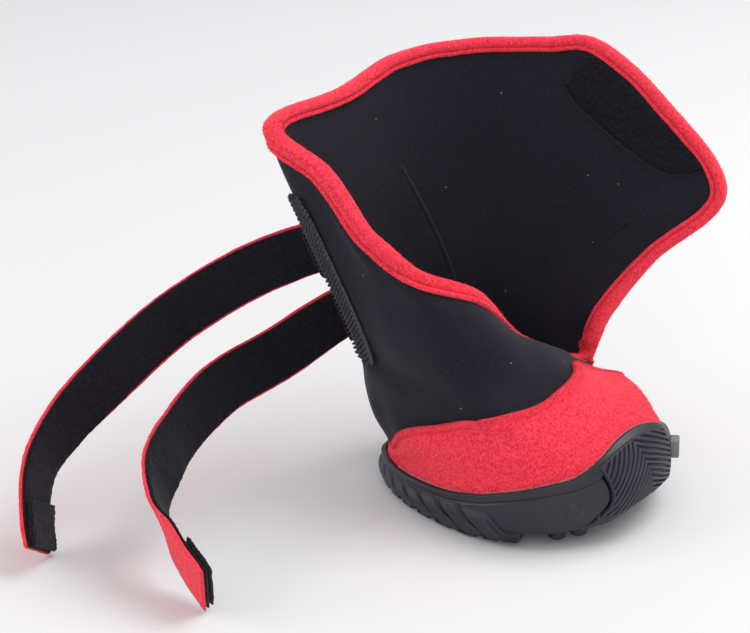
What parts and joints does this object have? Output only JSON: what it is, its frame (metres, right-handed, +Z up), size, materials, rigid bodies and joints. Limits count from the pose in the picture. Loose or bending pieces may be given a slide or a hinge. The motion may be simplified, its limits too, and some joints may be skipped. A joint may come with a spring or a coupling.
{
  "type": "dog bootie",
  "caption": "Ankle-high dog boot with a cupped rubber sole, a hollow foam-fabric upper whose wrap shaft is open, a fleece toe panel and edge binding, and two long fastening straps.",
  "frame": {"origin": "on the floor under the ball of the foot, at the middle of the round rest lug", "axes": "+X towards the toe, +Y towards the wearer's left, +Z up"},
  "size_m": [0.147, 0.1841, 0.1258],
  "materials": {
    "rubber": "satin moulded",
    "insole_foam": "matt",
    "foam_fabric": "matt knit",
    "fleece": "brushed fleece",
    "hook_tape": "woven with hooks",
    "loop_pile": "fuzzy loop pile",
    "strap_pile": "fuzzy loop pile"
  },
  "bodies": {
    "root": {"outsole": "rubber", "insole": "insole_foam", "upper": "foam_fabric", "toe_panel": "fleece", "binding": "fleece", "hook_strip": "hook_tape", "loop_patch": "loop_pile", "strap_upper": "strap_pile", "strap_lower": "strap_pile", "tab_upper": "hook_tape", "tab_lower": "hook_tape"}
  },
  "joints": []
}
